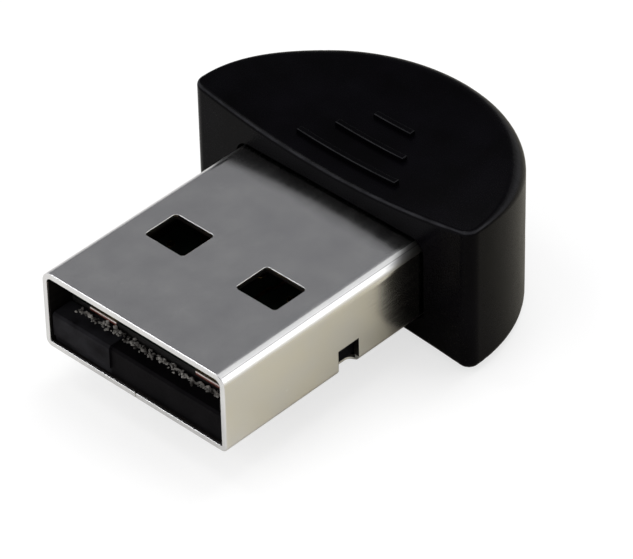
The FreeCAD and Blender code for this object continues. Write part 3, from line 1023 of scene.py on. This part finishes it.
@dataclass
class BoardParts:
    """Details of the board and of its small parts that their plain blocks leave out."""

    finishes: Finishes
    plug_reach: float = 13.3
    housing_end: float = 22.85
    row_pitch: float = 1.7
    front_row: float = 3.3
    rear_row: float = 0.1
    side_x: float = 2.5
    cap_length: float = 0.2
    cap_grow: float = 0.012
    part_length: float = 1.0
    part_width: float = 0.5
    resistor_height: float = 0.35
    capacitor_height: float = 0.5
    foil_depth: float = 0.018
    track_run: Range = (6.85, 9.7)
    turns: int = 6
    turns_start: float = -1.1
    turns_back: float = 2.25
    turns_reach: float = 0.32
    turns_pitch: float = 0.44
    turns_top: float = 0.9

    def cap(self, name: str, height: float) -> bpy.types.Object:
        """Shapes the plated end cap at the +X end of a part that stands at the origin.

        Args:
            name: The piece's name.
            height: The part's height in millimetres.

        Returns:
            The cap, a sleeve closed at its outer end.
        """
        grow = self.cap_grow
        length = self.cap_length
        middle = (self.part_length / 2 + grow - length / 2, 0.0, height / 2 + grow / 2)
        piece = Bench.block(name, middle, (length, self.part_width + 2 * grow, height + grow))
        with Bench.shaping(piece):
            Bench.inset(piece, (-1.0, 0.0, 0.0), grow * 0.8, -(length - 1.5 * grow))
        Bench.soften(piece, 0.02)
        return piece

    def build_caps(self) -> None:
        """Caps both ends of the resistors and the capacitors."""
        front = self.plug_reach - self.front_row
        rear = self.plug_reach - self.rear_row
        end = self.housing_end
        pitch = self.row_pitch
        resistors = [(-2 * pitch, front), (pitch, front), (1.5 * pitch, rear)]
        capacitors = [(-pitch, front), (0.0, front), (2 * pitch, front)]
        capacitors += [(-0.5 * pitch, rear), (0.5 * pitch, rear)]
        capacitors += [(self.side_x, end - 5.45), (self.side_x, end - 4.55)]
        for kind, height, places in (
            ("resistor", self.resistor_height, resistors),
            ("capacitor", self.capacitor_height, capacitors),
        ):
            first = self.cap(kind + "_cap", height)
            for number, (x, y) in enumerate(places, 1):
                for turn, side in ((0.0, "right"), (math.pi, "left")):
                    piece = Bench.again(first, f"{kind}_{number}_{side}_cap", (x, y, 0.0), turn)
                    Bench.finish(piece, self.finishes.solder, Slot.SOLDER)
            bpy.data.objects.remove(first)

    def build_lids(self) -> None:
        """Adds the crystal's welded lid, the lamp's dome and the dots that mark the chips' first pins."""
        lid = Bench.block("crystal_lid", (2.9, self.plug_reach - 1.8, 0.62), (2.16, 1.66, 0.05))
        with Bench.shaping(lid):
            Bench.inset(lid, UP, 0.14, 0.025)
        Bench.soften(lid, 0.012)
        Bench.finish(lid, self.finishes.can, Slot.CAN)
        end = self.housing_end
        dome = Bench.disc("lamp_dome", (self.side_x, end - 6.55, 0.55), 0.3, 0.1, 32)
        with Bench.shaping(dome):
            for thickness, depth in ((0.05, 0.05), (0.08, 0.03), (0.09, 0.012)):
                Bench.inset(dome, UP, thickness, depth)
        Bench.finish(dome, self.finishes.lens, Slot.LENS)
        for name, place in (
            ("radio_chip_dot", (-2.25, end - 6.8, 0.858)),
            ("memory_chip_dot", (-3.7, self.plug_reach - 2.4, 0.608)),
            ("regulator_dot", (-0.15, self.plug_reach - 2.25, 0.608)),
        ):
            dot = Bench.disc(name, place, 0.13, 0.016, 24)
            Bench.soften(dot, 0.004)
            Bench.finish(dot, self.finishes.ink, Slot.CHIP)

    def build_foil(self) -> None:
        """Adds the board's tracks and plated holes and the antenna's printed turns."""
        first, last = self.track_run
        for name, start_x, end_x, bend_start, bend_end, wide in (
            ("power_track", -3.5, -4.0, 8.3, 8.8, 0.5),
            ("data_minus_track", -1.0, -1.2, 8.1, 8.5, 0.22),
            ("data_plus_track", 1.0, 1.2, 8.1, 8.5, 0.22),
            ("ground_track", 3.5, 4.0, 8.3, 8.8, 0.5),
        ):
            places = ((start_x, first), (start_x, bend_start), (end_x, bend_end), (end_x, last))
            track = Bench.strip(name, [(x, y, 0.0) for x, y in places], wide, self.foil_depth)
            Bench.finish(track, self.finishes.copper, Slot.BOARD)
        turns = []
        x = self.turns_start
        y = self.housing_end - self.turns_back
        for count in range(self.turns):
            reach = self.turns_reach if count % 2 == 0 else -self.turns_reach
            turns += [(x, y - reach, self.turns_top), (x, y + reach, self.turns_top)]
            x += self.turns_pitch
        Bench.finish(Bench.strip("antenna_turns", turns, 0.09, 0.012), self.finishes.solder, Slot.CERAMIC)
        hole = Bench.disc("plated_hole", (0.0, 0.0, 0.012), 0.22, 0.024, 24)
        with Bench.shaping(hole):
            Bench.inset(hole, UP, 0.09, 0.0)
            bpy.ops.transform.translate(value=(0.0, 0.0, -self.foil_depth * MM))
        Bench.soften(hole, 0.004)
        holes = ((-2.2, 8.0), (2.3, 8.2), (-4.9, 7.4), (4.9, 7.4), (0.0, 8.6), (-5.0, 12.2))
        for number, (x, y) in enumerate(holes, 1):
            made = Bench.again(hole, f"plated_hole_{number}", (x, y, 0.0))
            Bench.finish(made, self.finishes.gold, Slot.GOLD)
        bpy.data.objects.remove(hole)

    def build(self) -> None:
        """Adds every detail of the board."""
        self.build_caps()
        self.build_lids()
        self.build_foil()


@dataclass(frozen=True)
class Panel:
    """Something flat that stands beside the adapter and faces it."""

    name: str
    direction: Point
    distance: float
    width: float
    height: float

    def stand(self) -> tuple[Vector, Euler]:
        """Returns the panel's place and turn."""
        towards = Vector(self.direction).normalized()
        return towards * self.distance, towards.to_track_quat("Z", "Y").to_euler()


@dataclass(frozen=True)
class Softbox(Panel):
    """Large soft lamp that the camera doesn't see, and that reflections see only where it is mirrored."""

    power: float
    mirrored: bool = True

    def build(self) -> None:
        """Adds the lamp."""
        place, turn = self.stand()
        bpy.ops.object.light_add(type="AREA", location=place)
        lamp = Bench.newest(self.name)
        lamp.rotation_euler = turn
        lamp.data.shape = "RECTANGLE"
        lamp.data.size = self.width
        lamp.data.size_y = self.height
        lamp.data.energy = self.power
        lamp.visible_camera = False
        lamp.visible_glossy = self.mirrored


@dataclass(frozen=True)
class Flag(Panel):
    """Glowing card, dim or bright, that only reflections see."""

    tone: float

    def build(self) -> None:
        """Adds the card."""
        place, turn = self.stand()
        bpy.ops.mesh.primitive_plane_add(size=1.0, location=place)
        card = Bench.newest(self.name)
        card.rotation_euler = turn
        card.scale = (self.width, self.height, 1.0)
        for switch in ("camera", "diffuse", "transmission", "volume_scatter", "shadow"):
            setattr(card, "visible_" + switch, False)
        sheet = Sheet(self.name)
        glow = sheet.node("ShaderNodeEmission")
        sheet.join((self.tone, self.tone, self.tone * 1.03, 1.0), glow.inputs["Color"])
        sheet.join(glow.outputs["Emission"], sheet.output.inputs["Surface"])
        dress(card, sheet.owner)
        card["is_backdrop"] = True


@dataclass(frozen=True)
class Studio:
    """Pale floor, white surroundings, soft lamps, cards for the reflections, and the camera."""

    eye: Point = (119.736004, -110.560929, 135.995257)
    right: Point = (0.7265631, 0.68684829, -0.01858724)
    forward: Point = (-0.54296184, 0.55735873, -0.62812713)
    focal: float = 4553.692218
    frame_width: float = 633.0
    sensor: float = 36.0
    floor_size: float = 4.0
    floor_tone: float = 0.93
    floor_cloud: float = 0.01
    mirrored_near: Colour = (0.72, 0.71, 0.69)
    mirrored_far: Colour = (0.50, 0.475, 0.41)
    shown_floor: float = 0.68
    ambient: float = 0.75
    lamps: tuple[Softbox, ...] = (
        Softbox("overhead_softbox", (-0.1, 0.35, 0.9), 0.6, 0.36, 0.30, 1.3, False),
        Softbox("front_softbox", (-0.2, -0.8, 0.6), 0.6, 0.36, 0.30, 0.9, False),
        Softbox("right_softbox", (0.68, 0.55, 0.45), 0.6, 0.30, 0.30, 0.5),
        Softbox("left_softbox", (-0.50, -0.08, 0.86), 0.6, 0.16, 0.16, 0.45),
    )
    flags: tuple[Flag, ...] = (
        Flag("left_flag", (-0.66, 0.48, 0.50), 0.40, 0.42, 0.42, 0.24),
        Flag("front_flag", (0.45, -0.50, 0.75), 0.45, 0.5, 0.40, 0.05),
        Flag("plug_flag", (-0.543, -0.557, 0.628), 0.42, 0.22, 0.22, 1.2),
    )

    def build_floor(self, height: float) -> None:
        """Adds the floor.

        Args:
            height: The floor's height in metres.
        """
        bpy.ops.mesh.primitive_plane_add(size=self.floor_size, location=(0.0, 0.0, height))
        floor = Bench.newest("floor")
        sheet = Sheet("floor_paper")
        paper = sheet.noise(0.05, 3.0)
        white = (1.0, 1.0, 1.0)
        low = scaled(white, self.floor_tone - self.floor_cloud)
        high = scaled(white, self.floor_tone + self.floor_cloud)
        pale = sheet.tint(paper, [(0.3, low), (0.7, high)])
        across = sheet.calculate("ADD", sheet.along("X"), sheet.along("Y"))
        away = sheet.spread(across, 2.0, 14.0, 0.0, 1.0)
        mirrored = sheet.tint(away, [(0.0, self.mirrored_near), (1.0, self.mirrored_far)])
        path = sheet.node("ShaderNodeLightPath")
        tone = sheet.blend(path.outputs["Is Glossy Ray"], pale, mirrored)
        dress(floor, sheet.surface(Base_Color=tone, Roughness=0.9, Specular_IOR_Level=0.1))
        lit = sheet.output.inputs["Surface"].links[0].from_socket
        glow = sheet.node("ShaderNodeEmission")
        mix = sheet.node("ShaderNodeMixShader")
        shown = sheet.spread(path.outputs["Is Camera Ray"], 0.0, 1.0, 0.0, self.shown_floor)
        sheet.join(shown, mix.inputs["Fac"])
        sheet.join(lit, mix.inputs[1])
        sheet.join(glow.outputs["Emission"], mix.inputs[2])
        sheet.join(mix.outputs["Shader"], sheet.output.inputs["Surface"])
        floor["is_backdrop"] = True

    def build_world(self) -> None:
        """Makes the surroundings white to the camera and in reflections, and softer as light."""
        sheet = Sheet("white_room", world=True)
        bpy.context.scene.world = sheet.owner
        path = sheet.node("ShaderNodeLightPath")
        seen = path.outputs["Is Camera Ray"]
        for name in ("Is Glossy Ray", "Is Transmission Ray"):
            seen = sheet.calculate("MAXIMUM", seen, path.outputs[name])
        back = sheet.node("ShaderNodeBackground")
        sheet.join((1.0, 1.0, 1.0, 1.0), back.inputs["Color"])
        sheet.join(sheet.spread(seen, 0.0, 1.0, self.ambient, 1.0), back.inputs["Strength"])
        sheet.join(back.outputs["Background"], sheet.output.inputs["Surface"])

    def build_camera(self) -> None:
        """Sets the camera at the photograph's place."""
        bpy.ops.object.camera_add()
        camera = Bench.newest("camera")
        right = Vector(self.right)
        forward = Vector(self.forward)
        up = right.cross(forward)
        turn = Matrix((right, up, -forward)).transposed()
        camera.matrix_world = Matrix.Translation(metres(self.eye)) @ turn.to_4x4()
        camera.data.sensor_width = self.sensor
        camera.data.lens = self.focal * self.sensor / self.frame_width
        camera.data.clip_start = 0.01
        camera.data.clip_end = 20.0
        bpy.context.scene.camera = camera

    def build(self, floor_height: float) -> None:
        """Builds the whole studio.

        Args:
            floor_height: The floor's height in metres.
        """
        self.build_camera()
        self.build_floor(floor_height)
        self.build_world()
        for part in (*self.lamps, *self.flags):
            part.build()
        bpy.context.scene.view_settings.view_transform = "Standard"


def main() -> None:
    """Dresses the adapter, adds its details, and builds its studio on a floor at the bottom of its bounds."""
    logging.basicConfig(level=logging.INFO, format="%(message)s")
    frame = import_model()
    solid_box = [list(corner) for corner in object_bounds()]
    bpy.ops.object.select_all(action="DESELECT")
    adapter = Adapter(frame["nodes"], Finishes())
    adapter.dress_nodes()
    BoardEdge(adapter.finishes).build()
    BoardParts(adapter.finishes).build()
    Studio().build(solid_box[0][2])


if __name__ == "__main__":
    main()
